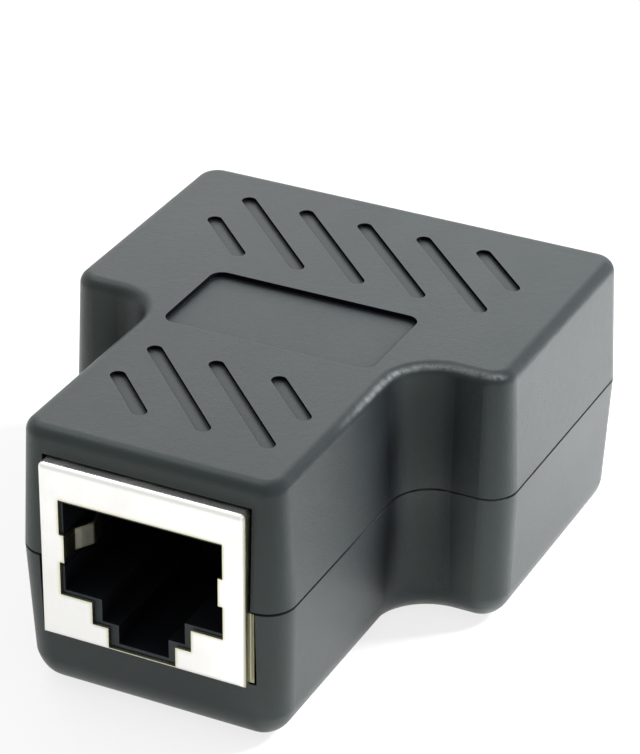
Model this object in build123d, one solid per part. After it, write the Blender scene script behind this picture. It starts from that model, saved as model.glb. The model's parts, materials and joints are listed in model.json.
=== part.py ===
from build123d import *
import math
import os

# A one-to-two network adapter: a tee-shaped plastic case in two halves, one shielded modular
# jack in the stem, a two-port shielded jack in the wing, and a circuit board that joins them.
# Millimetres. X runs across the wing, Y from the single port towards the pair, Z up.
# The origin is the middle of the face that the adapter rests on.

# Plug space of a port, seen from the port: X across, Y inwards from the shield's face, Z up
cavity_width = 11.9
cavity_top = 3.9
cavity_bottom = -2.95
cavity_depth = 12.0
latch_width = 6.3
latch_drop = 1.7
key_width = 3.8
key_drop = 1.45

# Contacts and the carriers moulded round them
contact_count = 8
contact_pitch = 1.02
contact_radius = 0.23
contact_bend = 0.6
contact_rise = 1.2
contact_nose_place = 1.9
contact_nose_drop = 1.35
contact_tip_drop = 2.35
contact_tip_gap = 1.6
row_spacing = 2.54
comb_slot_start = 1.2
comb_side_gap = 0.08
comb_top_gap = 0.17
carrier_front_cover = 0.55
carrier_back_cover = 0.36
carrier_side_cover = 0.9
carrier_top_cover = 0.42

# Housing of a jack
housing_side = 1.0
housing_roof = 0.9
housing_floor = 0.3
partition = 0.5
port_divider = 1.4
peg_radius = 1.55
peg_edge = 0.65
peg_place = 9.0
peg_gap = 0.1
peg_below_board = 0.5

# Shield of a jack, folded from one sheet
sheet = 0.25
bend_outside = 0.4
fit_gap = 0.05
foot_gap = 0.15
flange_depth = 2.2
lap_front = 1.0
lap_top = -1.25
window_side_lip = 0.2
window_top_lip = 0.3
window_bottom_lip = 0.25
latch_side_lip = 0.6
key_side_lip = 0.65
ear_width = 0.35
ear_top = 1.5
ear_bottom = -0.65
finger_height = 1.65
finger_bow = 0.85
finger_root_run = 1.5
finger_rise_run = 1.4
finger_fall_run = 1.5
finger_bend = 0.35
finger_room = 0.45
finger_gap = 0.2
ground_tail_width = 1.6
ground_tail_gap = 0.8
tail_below_board = 0.8

# Case: its walls, and the room it leaves round the jacks
draft_angle = 2.4
side_wall = 1.5
roof_wall = 1.7
floor_wall = 2.0
stem_side_room = 0.95
wing_side_room = 1.1
stem_end_room = 4.2
roof_room = 0.25
solder_room = 1.65
jack_rise = 1.0
jack_proud = 0.7
aperture_gap = 0.12
lower_side_gap = 0.45
corner_round = 2.1
least_corner = 0.7
armpit_round = 3.1
roof_edge_round = 0.9
floor_round_excess = 0.5
parting_chamfer = 0.1
tongue_height = 0.8
tongue_thickness = 0.6
tongue_gap = 0.1

# Recess for a label and slanting grip grooves, both in the roof
label_side = 2.0
label_length = 8.4
label_past_armpit = 5.85
label_depth = 0.35
label_corner = 1.0
groove_width = 1.1
groove_depth = 0.25
groove_pitch = 4.8
groove_field_length = 8.0
groove_slope = 45
stem_groove_count = 4
stem_groove_side = 3.25
stem_groove_gap = 4.0
wing_groove_count = 6
wing_groove_side = 5.4
wing_groove_gap = 3.1

# Circuit board and what locates it
board_thickness = 1.6
board_edge_gap = 0.15
board_end_gap = 0.3
board_corner = 0.8
contact_hole_gap = 0.17
post_radius = 1.5
post_wall_gap = 0.8
post_side_gap = 1.75
post_jack_gap = 0.75
pin_radius = 0.8
pin_gap = 0.1
pin_rise = 3.0
pad_size = 1.6
pad_inset = 0.6

# Sizes of a port and a jack that follow from the ones above
latch_bottom = cavity_bottom - latch_drop
key_bottom = latch_bottom - key_drop
contact_run_height = cavity_top + contact_rise
contact_tip_height = cavity_top - contact_tip_drop
contact_tip_place = cavity_depth - contact_tip_gap
contact_row = [(i - (contact_count - 1) / 2) * contact_pitch for i in range(contact_count)]
comb_slot_width = 2 * (contact_radius + comb_side_gap)
comb_slot_top = contact_run_height + contact_radius + comb_top_gap
carrier_front = cavity_depth + partition + fit_gap
first_row_place = carrier_front + carrier_front_cover
carrier_back = first_row_place + row_spacing + carrier_back_cover
carrier_width = contact_row[-1] - contact_row[0] + 2 * (contact_radius + carrier_side_cover)
carrier_top = contact_run_height + contact_radius + carrier_top_cover
jack_top = comb_slot_top + housing_roof + fit_gap + sheet
jack_base = key_bottom - housing_floor - fit_gap - sheet
jack_width = cavity_width + 2 * (finger_room + housing_side + fit_gap + sheet)
jack_depth = carrier_back + foot_gap + sheet
port_pitch = cavity_width + 2 * finger_room + port_divider
window_width = cavity_width + 2 * window_side_lip
window_top = cavity_top + window_top_lip
window_bottom = cavity_bottom - window_bottom_lip
window_latch_width = latch_width + 2 * latch_side_lip
window_latch_bottom = latch_bottom - window_bottom_lip
window_key_width = key_width + 2 * key_side_lip
peg_spread = jack_width / 2 - peg_edge - peg_radius
ground_tail_place = jack_proud + side_wall + pad_inset + pad_size + ground_tail_gap + ground_tail_width / 2
tail_end = jack_base - board_thickness - tail_below_board

# Sizes of the case, taken at the parting plane, that follow from what it holds
stem_width = jack_width + 2 * (stem_side_room + side_wall)
wing_width = jack_width + port_pitch + 2 * (wing_side_room + side_wall)
stem_length = jack_depth - jack_proud + stem_end_room
wing_length = jack_depth - jack_proud + post_jack_gap + 2 * post_radius + post_wall_gap + side_wall
case_length = stem_length + wing_length
upper_height = jack_rise + jack_top + roof_room + roof_wall
lower_height = floor_wall + solder_room + board_thickness - jack_base - jack_rise
floor_edge_round = corner_round + floor_round_excess
label_width = stem_width - 2 * label_side
label_back = stem_length + label_past_armpit
stem_groove_centre = label_back - label_length - stem_groove_gap - groove_field_length / 2
wing_groove_centre = label_back + wing_groove_gap + groove_field_length / 2
contact_hole_radius = contact_radius + contact_hole_gap
post_place = stem_length + side_wall + post_wall_gap + post_radius
post_spread = wing_width / 2 - side_wall - post_side_gap - post_radius

# Places that follow from the sizes above
front_y = -case_length / 2
back_y = case_length / 2
armpit_y = front_y + stem_length
parting_z = lower_height
jack_z = parting_z + jack_rise
board_top = jack_rise + jack_base
board_bottom = board_top - board_thickness
pin_top = board_top + pin_rise
at_front = Pos(0, front_y - jack_proud, jack_z)
at_back = Pos(0, back_y + jack_proud, jack_z) * Rot(0, 0, 180)
one_port = [0.0]
two_ports = [-port_pitch / 2, port_pitch / 2]


def block(x_span, y_span, z_span):
    """A box given by its lowest and highest value along each axis."""
    size = [high - low for low, high in (x_span, y_span, z_span)]
    middle = [(high + low) / 2 for low, high in (x_span, y_span, z_span)]
    return Pos(*middle) * Box(*size)


def both_ways(reach):
    """The span from -reach to reach."""
    return (-reach, reach)


def gang_width(ports):
    """Outer width of a jack that has its ports at the given places."""
    return jack_width + max(ports) - min(ports)


def tee_face(half_stem, half_wing, near, bend, far):
    """A flat tee: its stem's half width, its wing's half width and three places along Y."""
    outline = Polyline(
        (-half_stem, near),
        (half_stem, near),
        (half_stem, bend),
        (half_wing, bend),
        (half_wing, far),
        (-half_wing, far),
        (-half_wing, bend),
        (-half_stem, bend),
        close=True,
    )
    return make_face(outline)


def in_armpit(corner):
    """Whether a corner of the plan is one of the two inner corners of the tee."""
    return abs(corner.X) < (stem_width + wing_width) / 4 and corner.Y > (front_y + armpit_y) / 2


def case_plan(inset):
    """The case's plan at the parting plane, moved in by an inset, with only its armpits rounded."""
    plan = tee_face(stem_width / 2 - inset, wing_width / 2 - inset,
                    front_y + inset, armpit_y + inset, back_y - inset)
    return fillet([corner for corner in plan.vertices() if in_armpit(corner)], armpit_round + inset)


def rounded_tee(height, inset, draft):
    """The plan, its corners rounded too, drawn up from the parting plane and leaning in by the draft."""
    plan = case_plan(inset)
    outer = [corner for corner in plan.vertices() if not in_armpit(corner)]
    plan = fillet(outer, max(corner_round - inset, least_corner))
    return extrude(plan, amount=height, taper=draft)


def tee_ring(outer_inset, inner_inset, z_span):
    """A straight-walled ring that follows the case's wall between two insets."""
    height = z_span[1] - z_span[0]
    ring = rounded_tee(height, outer_inset, 0) - rounded_tee(height, inner_inset, 0)
    return Pos(0, 0, z_span[0]) * ring


def far_rim(form):
    """The edges round the face of a form that lies furthest from the parting plane."""
    return form.faces().sort_by(Axis.Z)[-1].edges()


def upper_form():
    """The upper half's outside: the roof's edge is rounded less than the upright corners."""
    form = rounded_tee(upper_height, 0, draft_angle)
    return fillet(far_rim(form), roof_edge_round)


def lower_form():
    """The lower half's outside: the floor's edge is rounder than the upright corners, so it comes first."""
    form = extrude(case_plan(0), amount=lower_height, taper=draft_angle)
    form = fillet(far_rim(form), floor_edge_round)
    upright = [edge for edge in form.edges() if edge.bounding_box().size.Z > parting_chamfer]
    return fillet([edge for edge in upright if not in_armpit(edge.center())], corner_round)


def port_apertures(reach, side_gap):
    """Cuts for the jacks' shields in the front and back walls of one half."""
    through = side_wall * 2
    z_span = (-tongue_height * 2, reach + aperture_gap)
    stem_cut = block(both_ways(gang_width(one_port) / 2 + side_gap),
                     (front_y - through, front_y + through), z_span)
    wing_cut = block(both_ways(gang_width(two_ports) / 2 + side_gap),
                     (back_y - through, back_y + through), z_span)
    return stem_cut + wing_cut


def half_case(form, hollow_height):
    """One half of the case: its outside hollowed from the parting plane."""
    shell = chamfer(form.faces().sort_by(Axis.Z)[0].edges(), parting_chamfer)
    return shell - rounded_tee(hollow_height, side_wall, draft_angle)


def label_recess():
    """A shallow place for a label on the roof, over the tee's crossing."""
    place = Pos(0, front_y + label_back - label_length / 2, upper_height - label_depth)
    outline = RectangleRounded(label_width, label_length, label_corner)
    return extrude(place * outline, amount=label_depth * 2)


def slanting_grooves(count, field_width, centre):
    """A row of slanting grooves, each cut short by the edges of its field."""
    slant = math.tan(math.radians(groove_slope))
    reach = groove_field_length / 2 / slant
    grooves = []
    for i in range(count):
        crossing = (i - (count - 1) / 2) * groove_pitch
        left = max(-field_width / 2, crossing - reach)
        right = min(field_width / 2, crossing + reach)
        middle = (left + right) / 2
        length = (right - left) / math.cos(math.radians(groove_slope))
        place = Pos(middle, front_y + centre - (middle - crossing) * slant, upper_height - groove_depth)
        slot = SlotCenterToCenter(length, groove_width, rotation=-groove_slope)
        grooves.append(extrude(place * slot, amount=groove_depth * 2))
    return grooves


def column(radius, z_span):
    """An upright round bar between two heights."""
    height = z_span[1] - z_span[0]
    return Pos(0, 0, z_span[0]) * Cylinder(radius, height, align=(Align.CENTER, Align.CENTER, Align.MIN))


def post_places():
    """Where the two locating posts stand, between the single jack and the pair."""
    return [Pos(side * post_spread, front_y + post_place, 0) for side in (-1, 1)]


def upper_shell():
    """The upper half, with the label recess, the grooves and the sockets for the posts' pins."""
    shell = half_case(upper_form(), upper_height - roof_wall)
    rebate = (-tongue_height, tongue_height + tongue_gap)
    shell -= tee_ring(side_wall - tongue_thickness - tongue_gap, side_wall + tongue_gap, rebate)
    shell -= port_apertures(jack_top + jack_rise, aperture_gap)
    shell -= label_recess()
    shell -= slanting_grooves(stem_groove_count, stem_width - 2 * stem_groove_side, stem_groove_centre)
    shell -= slanting_grooves(wing_groove_count, wing_width - 2 * wing_groove_side, wing_groove_centre)
    boss = column(post_radius, (board_top, upper_height - roof_wall))
    boss -= column(pin_radius + pin_gap, (board_top, pin_top + pin_gap))
    for place in post_places():
        shell += place * boss
    return Pos(0, 0, parting_z) * shell


def board_pads():
    """Square pads that carry the board's corners."""
    half = pad_size / 2
    z_span = (floor_wall - lower_height, board_bottom)
    stem_x = stem_width / 2 - side_wall - pad_inset - half
    wing_x = wing_width / 2 - side_wall - pad_inset - half
    near = front_y + side_wall + pad_inset + half
    far = back_y - side_wall - pad_inset - half
    pad = block(both_ways(half), both_ways(half), z_span)
    return [Pos(side * x, y, 0) * pad for x, y in ((stem_x, near), (wing_x, far)) for side in (-1, 1)]


def lower_shell():
    """The lower half, with the tongue that keys into the upper one, and the board's posts and pads."""
    shell = half_case(lower_form(), lower_height - floor_wall)
    shell += tee_ring(side_wall - tongue_thickness, side_wall, (-tongue_height, 0))
    shell -= port_apertures(-jack_base - jack_rise, lower_side_gap)
    shell = mirror(shell, Plane.XY)
    post = column(post_radius, (floor_wall - lower_height, board_bottom))
    post += column(pin_radius, (board_bottom, pin_top))
    for place in post_places():
        shell += place * post
    for pad in board_pads():
        shell += pad
    return Pos(0, 0, parting_z) * shell


def folded_box(width, shrink):
    """The form of the shield's outside, or of what fits inside it, with its base's rim left sharp."""
    form = block(both_ways(width / 2 - shrink), (shrink, jack_depth - shrink),
                 (jack_base + shrink, jack_top - shrink))
    rim = form.faces().sort_by(Axis.Z)[0].edges().sort_by(Axis.Y)[1:]
    folds = [edge for edge in form.edges() if not any(edge.is_same(other) for other in rim)]
    return fillet(folds, bend_outside - shrink)


def shield_window(x):
    """The cut-out in the shield's face: a wide mouth with two ears left standing, and the latch steps."""
    y_span = (-sheet, sheet * 2)
    window = block(both_ways(window_width / 2), y_span, (window_bottom, window_top))
    window += block(both_ways(window_latch_width / 2), y_span, (window_latch_bottom, window_bottom))
    window += block(both_ways(window_key_width / 2), y_span, (jack_base + sheet, window_latch_bottom))
    ear = block((window_width / 2 - ear_width, window_width), (-sheet * 2, sheet * 3),
                (ear_bottom, ear_top))
    window -= ear
    window -= mirror(ear, Plane.YZ)
    return Pos(x, 0, 0) * window


def ground_fingers(x):
    """The two springs folded back from the ears to touch a plug's shield."""
    face = window_width / 2 - ear_width + sheet / 2
    bow_place = finger_root_run + finger_rise_run
    path = FilletPolyline(
        (face + ear_width + sheet, sheet / 2),
        (face, sheet / 2),
        (face, finger_root_run),
        (face - finger_bow, bow_place),
        (face - finger_bow / 2, bow_place + finger_fall_run),
        radius=finger_bend,
    )
    spring = extrude(trace(path, sheet), amount=finger_height)
    spring = Pos(0, 0, (ear_top + ear_bottom - finger_height) / 2) * spring
    return [Pos(x, 0, 0) * spring, Pos(x, 0, 0) * mirror(spring, Plane.YZ)]


def jack_shield(ports):
    """The jack's cover, folded from one sheet: face, sides, back, lapped flange, fingers and two tails."""
    width = gang_width(ports)
    shield = folded_box(width, 0) - folded_box(width, sheet)
    shield -= block(both_ways(width / 2 - sheet), (flange_depth, jack_depth - sheet),
                    (jack_base - sheet, jack_base + sheet))
    for x in ports:
        shield -= shield_window(x)
        for finger in ground_fingers(x):
            shield += finger
    tail = block((width / 2 - sheet, width / 2), both_ways(ground_tail_width / 2),
                 (tail_end, jack_base + sheet))
    tail = Pos(0, ground_tail_place, 0) * tail
    lap = block((width / 2, width / 2 + sheet), (lap_front, flange_depth), (jack_base, lap_top))
    for side_piece in (tail, lap):
        shield += side_piece
        shield += mirror(side_piece, Plane.YZ)
    return shield


def plug_space(x):
    """What is cut from the housing for one plug, its latch, the ground springs and the contacts."""
    y_span = (0, cavity_depth)
    space = block(both_ways(cavity_width / 2), y_span, (cavity_bottom, cavity_top))
    space += block(both_ways(latch_width / 2), y_span, (latch_bottom, cavity_bottom))
    space += block(both_ways(key_width / 2), y_span, (key_bottom, latch_bottom))
    finger_end = finger_root_run + finger_rise_run + finger_fall_run + finger_gap
    finger_z = ((ear_top + ear_bottom - finger_height) / 2 - finger_gap,
                (ear_top + ear_bottom + finger_height) / 2 + finger_gap)
    space += block(both_ways(cavity_width / 2 + finger_room), (0, finger_end), finger_z)
    for row_x in contact_row:
        space += block((row_x - comb_slot_width / 2, row_x + comb_slot_width / 2),
                       (comb_slot_start, cavity_depth + partition * 2),
                       (cavity_top - fit_gap, comb_slot_top))
    space += block(both_ways(carrier_width / 2 + fit_gap), (cavity_depth + partition, jack_depth),
                   (jack_base * 2, carrier_top + fit_gap))
    return Pos(x, 0, 0) * space


def peg_places(ports):
    """Where the housing's two pegs stand."""
    return [Pos(min(ports) - peg_spread, peg_place, 0), Pos(max(ports) + peg_spread, peg_place, 0)]


def jack_housing(ports):
    """The moulded body inside the shield, with its plug spaces, its foot and its two pegs."""
    width = gang_width(ports)
    housing = folded_box(width, sheet + fit_gap)
    housing += block(both_ways(width / 2 - sheet - foot_gap),
                     (flange_depth + foot_gap, jack_depth - sheet - foot_gap),
                     (jack_base, jack_base + sheet * 2))
    for place in peg_places(ports):
        housing += place * column(peg_radius, (jack_base - board_thickness - peg_below_board, jack_base))
    for x in ports:
        housing -= plug_space(x)
    return housing


def tail_place(number):
    """How far in a contact's tail stands: odd and even contacts use different rows."""
    return first_row_place + row_spacing * (number % 2)


def contact(x, number):
    """One round spring wire: tail, rise, run along the comb, nose and slope back to its free tip."""
    tail_y = tail_place(number)
    path = FilletPolyline(
        (x, tail_y, tail_end),
        (x, tail_y, contact_run_height),
        (x, contact_nose_place, contact_run_height),
        (x, contact_nose_place, contact_run_height - contact_nose_drop),
        (x, contact_tip_place, contact_tip_height),
        radius=contact_bend,
    )
    start = Plane(origin=(x, tail_y, tail_end), z_dir=(0, 0, 1))
    return sweep(start * Circle(contact_radius), path=path)


def contact_set(x):
    """The eight contacts of one port, from the left as a plug meets them."""
    return [contact(x + row_x, number) for number, row_x in enumerate(contact_row)]


def contact_carrier(x, contacts):
    """The block moulded round the contacts' rising ends, which closes the back of the port."""
    carrier = block(both_ways(carrier_width / 2), (carrier_front, carrier_back), (jack_base, carrier_top))
    carrier = Pos(x, 0, 0) * carrier
    for wire in contacts:
        carrier -= wire
    return carrier


def board_cuts(ports):
    """Holes and edge notches that one jack needs in the board, in the jack's own frame."""
    z_span = (jack_base - board_thickness * 2, jack_base + board_thickness)
    width = gang_width(ports)
    cuts = [place * column(peg_radius + peg_gap, z_span) for place in peg_places(ports)]
    for x in ports:
        for number, row_x in enumerate(contact_row):
            cuts.append(Pos(x + row_x, tail_place(number), 0) * column(contact_hole_radius, z_span))
    notch = block((width / 2 - sheet - peg_gap, width / 2 + sheet * 2),
                  (ground_tail_place - ground_tail_width / 2 - peg_gap,
                   ground_tail_place + ground_tail_width / 2 + peg_gap), z_span)
    return cuts + [notch, mirror(notch, Plane.YZ)]


def circuit_board():
    """The board under all the jacks, which links each contact of the single port to the pair."""
    lean = -board_bottom * math.tan(math.radians(draft_angle))
    edge = side_wall + lean + board_edge_gap
    end = side_wall + lean + board_end_gap
    plan = tee_face(stem_width / 2 - edge, wing_width / 2 - edge,
                    front_y + end, armpit_y + end, back_y - end)
    board = Pos(0, 0, board_bottom) * extrude(plan, amount=board_thickness)
    corners = board.edges().filter_by(Axis.Z).filter_by(lambda edge: not in_armpit(edge.center()))
    board = fillet(corners, board_corner)
    for place in post_places():
        board -= place * column(pin_radius + pin_gap, (board_bottom * 2, 0))
    board = Pos(0, 0, parting_z) * board
    for cut in board_cuts(one_port):
        board -= at_front * cut
    for cut in board_cuts(two_ports):
        board -= at_back * cut
    return board


def save(name, shape):
    """Write one piece to its own file."""
    export_step(shape, os.path.join("parts", name + ".step"))


def save_port(name, place, x):
    """Write one port's contacts and their carrier."""
    contacts = contact_set(x)
    save(name + "_contact_carrier", place * contact_carrier(x, contacts))
    for number, wire in enumerate(contacts, start=1):
        save(f"{name}_contact_{number}", place * wire)


def main():
    os.makedirs("parts", exist_ok=True)
    save("upper_shell", upper_shell())
    save("lower_shell", lower_shell())
    save("circuit_board", circuit_board())
    save("front_jack_shield", at_front * jack_shield(one_port))
    save("front_jack_housing", at_front * jack_housing(one_port))
    save("rear_jack_shield", at_back * jack_shield(two_ports))
    save("rear_jack_housing", at_back * jack_housing(two_ports))
    save_port("front", at_front, one_port[0])
    save_port("rear_left", at_back, two_ports[1])
    save_port("rear_right", at_back, two_ports[0])


main()
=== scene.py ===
import json
import math

import bpy
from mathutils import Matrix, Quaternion, Vector


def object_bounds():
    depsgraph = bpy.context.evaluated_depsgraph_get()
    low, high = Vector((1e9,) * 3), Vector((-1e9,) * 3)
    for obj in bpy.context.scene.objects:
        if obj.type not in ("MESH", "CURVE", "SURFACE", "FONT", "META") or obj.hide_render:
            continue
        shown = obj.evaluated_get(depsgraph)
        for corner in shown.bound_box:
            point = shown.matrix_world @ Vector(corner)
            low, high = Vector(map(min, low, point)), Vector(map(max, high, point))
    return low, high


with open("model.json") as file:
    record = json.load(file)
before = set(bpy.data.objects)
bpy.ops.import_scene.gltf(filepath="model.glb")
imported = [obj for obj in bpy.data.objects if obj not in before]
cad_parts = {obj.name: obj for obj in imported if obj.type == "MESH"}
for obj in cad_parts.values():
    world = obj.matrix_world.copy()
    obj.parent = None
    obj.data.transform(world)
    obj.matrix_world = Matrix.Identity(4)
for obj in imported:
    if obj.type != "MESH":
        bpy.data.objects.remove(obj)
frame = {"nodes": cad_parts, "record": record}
cad_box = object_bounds()

# Lengths are in metres
MM = 0.001

# The photograph's view: a long lens that looks down on the single port from its right
PHOTO_WIDTH = 640
PHOTO_HEIGHT = 754
FOCAL_PIXELS = 3332.0
CAMERA_AZIMUTH = 26.015
CAMERA_ELEVATION = 29.286
CAMERA_ROLL = 0.409
CAMERA_DISTANCE = 207.267 * MM
CAMERA_TARGET = Vector((12.748, -20.725, 29.892)) * MM
NEAR_SHARE = 0.1

# The camera's sensor width, in millimetres as Blender has it
SENSOR = 36.0

# Studio floor and world, whose strength of 1 is plain white
WHITE = (1.0, 1.0, 1.0, 1.0)
FLOOR_REACH = 3.0
FLOOR_DROP = 0.02 * MM
FLOOR_TONE = (0.95, 0.95, 0.95, 1.0)
FLOOR_SHADOW = 0.22
FLOOR_SHADOW_IN_GLOSS = 0.3
WORLD_STRENGTH = 0.75

# The side of the studio that is dim in gloss, low at the left front, and how far from its middle it fades
DIM_SIDE = (-0.35, -0.93, 0.10)
DIM_DEPTH = 0.2
DIM_STARTS = 0.25
DIM_FULL = 0.85

# Lamps: place, what they are turned to, width of the square, watts and spread in degrees
PART_MIDDLE = (0, 0, 0.01)
BACK_BOX = ((-0.23, 0.47, 0.30), PART_MIDDLE, 0.40, 0.40, 180)
OVERHEAD = ((-0.20, 0.05, 0.47), PART_MIDDLE, 0.25, 0.40, 180)
FLOOR_RIGHT = ((0.11, 0.10, 0.12), (0.035, 0.035, 0), 0.06, 0.20, 60)

# How the black plastic shines: more towards grazing view, and a little green
PLASTIC_IOR = 2.2
PLASTIC_TINT = (0.226, 0.268, 0.247, 1.0)

# Shade on the black plastic: along the parting line, on the walls of the roof's recesses and in inner corners
ROOF_HEIGHT = cad_box[1][2]
SEAM_HEIGHT = 10.95 * MM
SEAM_DARK = 0.06 * MM
SEAM_ENDS = 0.13 * MM
RECESS_DARK = 0.37 * MM
RECESS_ENDS = 0.42 * MM
SHELTER_REACH = 7.0 * MM
SHADE_TONE = (0.004, 0.004, 0.005)

# Where pale spots are painted along the roof's edge as a highlight: on the right, from halfway along the stem
# to the wing's front
RIM_HIGHLIGHT_ACROSS = ((7.0 * MM, 0.0), (9.0 * MM, 1.0))
RIM_HIGHLIGHT_ALONG = ((-11.6 * MM, 0.0), (-7.0 * MM, 0.8), (0.0, 1.0), (0.6 * MM, 0.0))
RIM_HIGHLIGHT_TONE = (0.15, 0.155, 0.155)

# How far out from the middle the front shield's laps, and the painted shade on them, start, just past its
# cover
LAP_STARTS = 7.72 * MM
LAP_FULL = 7.76 * MM

# How close the threads of the board's glass cloth lie
WEAVE_SCALE = 900.0


class Value:
    """A number, colour or vector that a shader node gives, with Python's operators for the maths."""

    def __init__(self, tree, socket):
        self.tree = tree
        self.socket = socket

    def math(self, operation, *inputs, swap=False):
        operands = [self, *inputs]
        if swap:
            operands.reverse()
        return self.tree.add("ShaderNodeMath", {"operation": operation}, operands)

    def __add__(self, other):
        return self.math("ADD", other)

    def __radd__(self, other):
        return self.math("ADD", other, swap=True)

    def __sub__(self, other):
        return self.math("SUBTRACT", other)

    def __rsub__(self, other):
        return self.math("SUBTRACT", other, swap=True)

    def __mul__(self, other):
        return self.math("MULTIPLY", other)

    def __rmul__(self, other):
        return self.math("MULTIPLY", other, swap=True)

    def __abs__(self):
        return self.math("ABSOLUTE")


class Tree:
    """A material's or the world's node tree, emptied, with one method that adds any node."""

    def __init__(self, owner):
        owner.use_nodes = True
        self.nodes = owner.node_tree.nodes
        self.links = owner.node_tree.links
        self.nodes.clear()

    def add(self, kind, settings=None, inputs=None, output=0):
        """Add a node of a kind, and give one of its outputs."""
        node = self.nodes.new(kind)
        for name, setting in (settings or {}).items():
            if name == "stops":
                self.set_stops(node.color_ramp.elements, setting)
            else:
                setattr(node, name, setting)
        pairs = inputs.items() if isinstance(inputs, dict) else enumerate(inputs or [])
        for name, value in pairs:
            if isinstance(value, Value):
                self.links.new(value.socket, node.inputs[name])
            elif value is not None:
                node.inputs[name].default_value = value
        return Value(self, node.outputs[output]) if node.outputs else None

    @staticmethod
    def set_stops(elements, stops):
        while len(elements) < len(stops):
            elements.new(1.0)
        for element, (place, level) in zip(elements, stops):
            element.position = place
            element.color = (level, level, level, 1.0)

    def place(self):
        """Where a point of the surface lies on the part, in metres."""
        return self.add("ShaderNodeTexCoord", output="Object")

    def facing(self):
        """The way that the surface faces."""
        return self.add("ShaderNodeNewGeometry", output="Normal")

    def part(self, vector, axis):
        """A vector's number along X, Y or Z."""
        return self.add("ShaderNodeSeparateXYZ", None, [vector], output=axis)

    def dot(self, first, second):
        return self.add("ShaderNodeVectorMath", {"operation": "DOT_PRODUCT"}, [first, second], output="Value")

    def noise(self, size, detail=3.0, roughness=0.5, stretch=(1.0, 1.0, 1.0)):
        """Noise from 0 to 1 whose blotches are about as wide as the given size."""
        drawn_out = {"Vector": self.place(), "Scale": stretch}
        place = self.add("ShaderNodeMapping", {"vector_type": "POINT"}, drawn_out)
        inputs = {"Vector": place, "Scale": 1.0 / size, "Detail": detail, "Roughness": roughness}
        return self.add("ShaderNodeTexNoise", None, inputs)

    def ramp(self, value, *stops):
        """A level from 0 to 1 that follows a value from 0 to 1 through its stops."""
        return self.add("ShaderNodeValToRGB", {"stops": stops}, [value])

    def profile(self, length, stops):
        """A level that follows a length through its stops, and stays level before and past them."""
        first = stops[0][0]
        span = stops[-1][0] - first
        shares = [((stop - first) / span, level) for stop, level in stops]
        return self.ramp((length - first) * (1.0 / span), *shares)

    def mix(self, factor, first, second):
        """One colour that turns into another."""
        first, second = [(*c, 1.0) if isinstance(c, tuple) else c for c in (first, second)]
        return self.add("ShaderNodeMix", {"data_type": "RGBA"}, {0: factor, 6: first, 7: second}, output=2)

    def soft_edges(self, radius):
        """The surface's normal, as if its sharp edges were eased by a small radius."""
        return self.add("ShaderNodeBevel", {"samples": 8}, {"Radius": radius})

    def edges(self, radius):
        """1 on the object's sharp edges and bends, falling to 0 on its flats."""
        return self.ramp(self.dot(self.soft_edges(radius), self.facing()), (0.80, 1.0), (0.995, 0.0))

    def shelter(self, reach):
        """1 in the object's inner corners, falling to 0 in the open."""
        settings = {"samples": 8, "only_local": True}
        openness = self.add("ShaderNodeAmbientOcclusion", settings, {"Distance": reach}, output="AO")
        return self.ramp(openness, (0.70, 1.0), (0.96, 0.0))

    def bump(self, height, distance, strength=1.0, normal=None):
        inputs = {"Strength": strength, "Distance": distance, "Height": height, "Normal": normal}
        return self.add("ShaderNodeBump", None, inputs)

    def finish(self, shade=None, **sockets):
        """The surface itself: a Principled shader with these values, and matt shade over a share of it."""
        inputs = {name.replace("_", " "): value for name, value in sockets.items()}
        shader = self.add("ShaderNodeBsdfPrincipled", None, inputs)
        if shade is not None:
            matt = self.add("ShaderNodeBsdfDiffuse", None, {"Color": (*SHADE_TONE, 1.0)})
            shader = self.add("ShaderNodeMixShader", None, [shade, shader, matt])
        self.add("ShaderNodeOutputMaterial", None, {"Surface": shader})


def material(name):
    made = bpy.data.materials.new(name)
    return made, Tree(made)


def seam_line(tree):
    """1 along the parting line between the shells."""
    away = abs(tree.part(tree.place(), "Z") - SEAM_HEIGHT)
    return tree.profile(away, ((SEAM_DARK, 1.0), (SEAM_ENDS, 0.0)))


def recess_walls(tree, upright):
    """Where painted shade goes: 1 on the upright walls of the roof's grooves and label recess."""
    below_roof = ROOF_HEIGHT - tree.part(tree.place(), "Z")
    shallow = tree.profile(below_roof, ((RECESS_DARK, 1.0), (RECESS_ENDS, 0.0)))
    return tree.ramp(upright, (0.25, 1.0), (0.50, 0.0)) * shallow


def inner_corners(tree, upright):
    """Where painted shade goes: 1 in the plastic's inner corners, and less on what lies level."""
    level = tree.ramp(upright, (0.90, 0.0), (0.98, 1.0))
    return tree.shelter(SHELTER_REACH) * (1.0 - level * 0.55)


def painted_rim_highlight(tree, upright):
    """Pale spots painted along the roof's right edge as a highlight."""
    across = tree.profile(tree.part(tree.place(), "X"), RIM_HIGHLIGHT_ACROSS)
    along = tree.profile(tree.part(tree.place(), "Y"), RIM_HIGHLIGHT_ALONG)
    rim = tree.ramp(upright, (0.45, 0.0), (0.68, 1.0), (0.76, 1.0), (0.95, 0.0))
    spots = tree.ramp(tree.noise(0.6 * MM, detail=6.0, roughness=0.7), (0.36, 0.1), (0.72, 1.0))
    return across * along * rim * spots


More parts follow.
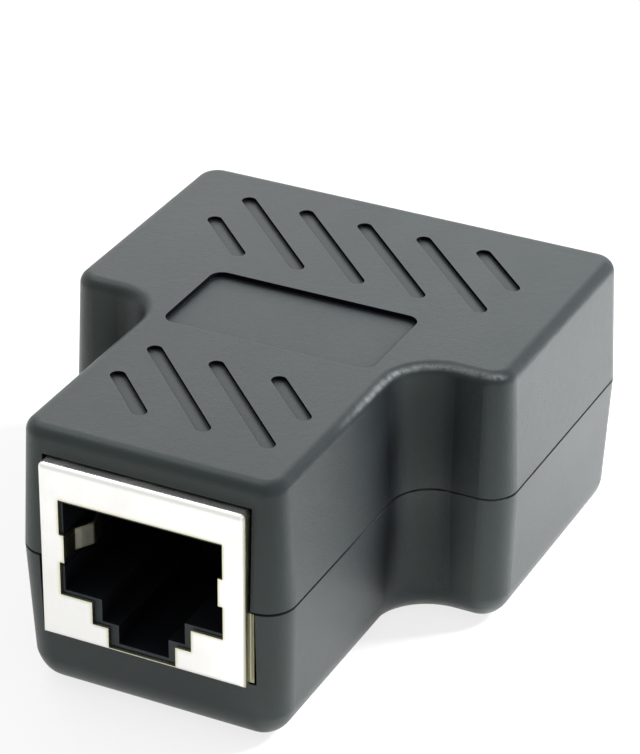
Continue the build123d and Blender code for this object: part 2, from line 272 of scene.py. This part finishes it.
def moulded_black(name, tone, worn_tone, grain, roughness):
    """Black plastic from a spark-eroded mould: fine grain, faint flow marks, slightly polished edges, a
    painted highlight along the roof's right edge and painted shade.
    """
    made, tree = material(name)
    upright = abs(tree.part(tree.facing(), "Z"))
    seam = seam_line(tree)
    grain_height = tree.noise(grain, detail=4.0, roughness=0.6)
    blotch = tree.noise(3.0 * MM, detail=3.0)
    dust = tree.ramp(tree.noise(0.9 * MM, detail=6.0, roughness=0.7), (0.60, 0.0), (0.80, 1.0))
    flow = tree.noise(6.0 * MM, detail=1.0, stretch=(1.0, 0.35, 1.0))
    worn = tree.edges(0.25 * MM) * (1.0 - seam)

    plain = tree.mix(blotch, tuple(0.8 * share for share in tone), tuple(1.2 * share for share in tone))
    dusty = tree.mix(dust * 0.15, plain, worn_tone)
    scuffed = tree.mix(worn * 0.10, dusty, worn_tone)
    # Painted highlight: the base colour turns pale in spots along the roof's right edge
    colour = tree.mix(painted_rim_highlight(tree, upright), scuffed, RIM_HIGHLIGHT_TONE)
    gloss = roughness + (grain_height - 0.5) * 0.14 + (flow - 0.5) * 0.08 - worn * 0.04 + seam * 0.2
    coarse = tree.bump(tree.noise(0.6 * MM, detail=2.0), 0.012 * MM, normal=tree.soft_edges(0.04 * MM))
    fine = tree.bump(grain_height, 0.03 * MM, strength=0.9, normal=coarse)
    # Painted shade: a near-black matt share on the recess walls, along the parting line and in inner corners
    shade = recess_walls(tree, upright) * 0.85 + seam * 0.75 + inner_corners(tree, upright) * 0.9
    tree.finish(shade=shade, Base_Color=colour, Roughness=gloss, Normal=fine, IOR=PLASTIC_IOR,
                Specular_Tint=PLASTIC_TINT)
    return made


def set_back_shade(tree):
    """Where painted shade darkens the sheet: 1 on its sides and on the front shield's laps, which lie back in
    the case.
    """
    across = abs(tree.part(tree.place(), "X"))
    front = tree.part(tree.place(), "Y").math("LESS_THAN", 0.0)
    laps = tree.profile(across, ((LAP_STARTS, 0.0), (LAP_FULL, 1.0))) * front
    sides = tree.ramp(abs(tree.part(tree.facing(), "X")), (0.6, 0.0), (0.9, 1.0))
    return sides.math("MAXIMUM", laps)


def nickel_sheet(name):
    """Nickel-plated sheet: rolling lines, faint stains, yellow tint and painted dark reflection at bends, and
    painted shade where set back.
    """
    made, tree = material(name)
    lines = tree.noise(0.25 * MM, detail=3.0, stretch=(1.0, 1.0, 0.04))
    stain = tree.ramp(tree.noise(2.2 * MM, detail=4.0), (0.45, 0.0), (0.75, 1.0))
    bend_tint_and_shade = tree.edges(0.5 * MM)

    clean = tree.mix(lines, (0.93, 0.925, 0.895), (0.98, 0.975, 0.955))
    stained = tree.mix(stain * 0.22, clean, (0.86, 0.84, 0.74))
    # Bends take the plating's yellow tint and a painted dark reflection
    folded = tree.mix(bend_tint_and_shade * 0.8, stained, (0.62, 0.60, 0.36))
    # Painted shade: the sheet's sides and set-back laps turn a dim olive
    colour = tree.mix(set_back_shade(tree) * 0.8, folded, (0.24, 0.23, 0.13))
    gloss = 0.30 + (lines - 0.5) * 0.12 + stain * 0.08
    normal = tree.bump(lines, 0.004 * MM, normal=tree.soft_edges(0.05 * MM))
    tree.finish(Base_Color=colour, Metallic=1.0, Roughness=gloss, Normal=normal)
    return made


def gold_wire(name):
    """Gold-plated spring wire, drawn lengthways, duller where it has been wiped."""
    made, tree = material(name)
    drawn = tree.noise(0.08 * MM, detail=2.0, stretch=(1.0, 0.08, 0.3))
    wiped = tree.noise(1.2 * MM, detail=2.0)

    colour = tree.mix(wiped, (0.86, 0.62, 0.26), (0.98, 0.78, 0.42))
    gloss = 0.22 + (drawn - 0.5) * 0.10 + (wiped - 0.5) * 0.08
    normal = tree.bump(drawn, 0.002 * MM)
    tree.finish(Base_Color=colour, Metallic=1.0, Roughness=gloss, Normal=normal)
    return made


def weave(tree, direction):
    """The threads of the board's glass cloth in one direction."""
    inputs = {"Vector": tree.place(), "Scale": WEAVE_SCALE}
    return tree.add("ShaderNodeTexWave", {"bands_direction": direction}, inputs)


def lacquered_board(name):
    """Green lacquer over glass cloth, with the weave showing faintly through it."""
    made, tree = material(name)
    cloth = weave(tree, "X") * weave(tree, "Y")
    tint = tree.noise(4.0 * MM, detail=2.0)

    lacquer = tree.mix(tint, (0.018, 0.13, 0.05), (0.028, 0.18, 0.07))
    colour = tree.mix(cloth * 0.25, lacquer, (0.05, 0.24, 0.10))
    gloss = 0.28 + (tint - 0.5) * 0.10
    normal = tree.bump(cloth, 0.004 * MM)
    tree.finish(Base_Color=colour, Roughness=gloss, Normal=normal)
    return made


def dress_part():
    """Give each CAD node the finish of its slot."""
    shell = {"tone": (0.008, 0.010, 0.012), "worn_tone": (0.05, 0.055, 0.055)}
    housing = {"tone": (0.005, 0.006, 0.010), "worn_tone": (0.03, 0.03, 0.04)}
    carrier = {"tone": (0.015, 0.015, 0.018), "worn_tone": (0.05, 0.05, 0.05)}
    surfaces = {
        "shell": moulded_black("shell_plastic", **shell, grain=0.11 * MM, roughness=0.33),
        "shield": nickel_sheet("nickel_shield"),
        "housing": moulded_black("housing_plastic", **housing, grain=0.09 * MM, roughness=0.42),
        "carrier": moulded_black("carrier_plastic", **carrier, grain=0.09 * MM, roughness=0.38),
        "contact": gold_wire("gold_contact"),
        "board": lacquered_board("board_lacquer"),
    }
    for part in frame["record"]["subparts"]:
        for slot in frame["nodes"][part["node"]].material_slots:
            slot.material = surfaces[part["material_slot"]]


def light_path(tree, kind):
    """1 for one kind of ray, and 0 for the others."""
    return tree.add("ShaderNodeLightPath", output=kind)


def background_ray(tree, straight=1.0, in_gloss=1.0):
    """How much a ray shows of the studio itself: straight or through glass, in gloss, and else nothing."""
    seen = light_path(tree, "Is Camera Ray").math("MAXIMUM", light_path(tree, "Is Transmission Ray"))
    return seen * straight + light_path(tree, "Is Glossy Ray") * in_gloss


def studio_floor():
    """A wide white floor that keeps the object's shadow, softly."""
    bpy.ops.mesh.primitive_plane_add(size=FLOOR_REACH, location=(0, 0, -FLOOR_DROP))
    floor = bpy.context.object
    floor.name = "studio_floor"
    made, tree = material("studio_white")
    lit = tree.add("ShaderNodeBsdfDiffuse", None, {"Color": FLOOR_TONE})
    plain = tree.add("ShaderNodeEmission", None, {"Color": WHITE, "Strength": 1.0})
    share = background_ray(tree, 1.0 - FLOOR_SHADOW, 1.0 - FLOOR_SHADOW_IN_GLOSS)
    surface = tree.add("ShaderNodeMixShader", None, [share, lit, plain])
    tree.add("ShaderNodeOutputMaterial", None, {"Surface": surface})
    floor.data.materials.append(made)


def studio_world():
    """Soft light from all round, plain white to the camera, and in gloss white with one dim side."""
    world = bpy.data.worlds.new("studio")
    bpy.context.scene.world = world
    tree = Tree(world)
    towards = tree.dot(tree.add("ShaderNodeTexCoord", output="Generated"), DIM_SIDE)
    dim = tree.ramp(towards, (DIM_STARTS, 0.0), (DIM_FULL, 1.0)) * light_path(tree, "Is Glossy Ray")
    strength = WORLD_STRENGTH + background_ray(tree) * (1.0 - WORLD_STRENGTH) - dim * DIM_DEPTH
    background = tree.add("ShaderNodeBackground", None, {"Color": WHITE, "Strength": strength})
    tree.add("ShaderNodeOutputWorld", None, {"Surface": background})


def soft_lamp(name, place, aim, size, power, spread, in_gloss=True):
    """A square soft box at a place, turned to what it lights, and not seen itself."""
    data = bpy.data.lights.new(name, "AREA")
    data.shape = "SQUARE"
    data.size = size
    data.energy = power
    data.spread = math.radians(spread)
    lamp = bpy.data.objects.new(name, data)
    lamp.location = place
    lamp.rotation_euler = (Vector(aim) - Vector(place)).to_track_quat("-Z", "Y").to_euler()
    lamp.visible_camera = False
    lamp.visible_glossy = in_gloss
    bpy.context.scene.collection.objects.link(lamp)


def photo_camera():
    """The photograph's camera, fitted to its edges."""
    azimuth = math.radians(CAMERA_AZIMUTH)
    elevation = math.radians(CAMERA_ELEVATION)
    back = Vector((math.sin(azimuth) * math.cos(elevation), -math.cos(azimuth) * math.cos(elevation),
                   math.sin(elevation)))
    data = bpy.data.cameras.new("photo_camera")
    data.sensor_width = SENSOR
    data.lens = FOCAL_PIXELS / max(PHOTO_WIDTH, PHOTO_HEIGHT) * SENSOR
    data.clip_start = CAMERA_DISTANCE * NEAR_SHARE
    camera = bpy.data.objects.new("photo_camera", data)
    camera.location = CAMERA_TARGET + back * CAMERA_DISTANCE
    camera.rotation_mode = "QUATERNION"
    turn = (-back).to_track_quat("-Z", "Y")
    turn.rotate(Quaternion(back, math.radians(CAMERA_ROLL)))
    camera.rotation_quaternion = turn
    bpy.context.scene.collection.objects.link(camera)
    bpy.context.scene.camera = camera


photo_camera()
studio_floor()
studio_world()
soft_lamp("back box", *BACK_BOX)
soft_lamp("overhead", *OVERHEAD)
soft_lamp("floor right", *FLOOR_RIGHT, in_gloss=False)
dress_part()
bpy.context.scene.view_settings.view_transform = "Standard"
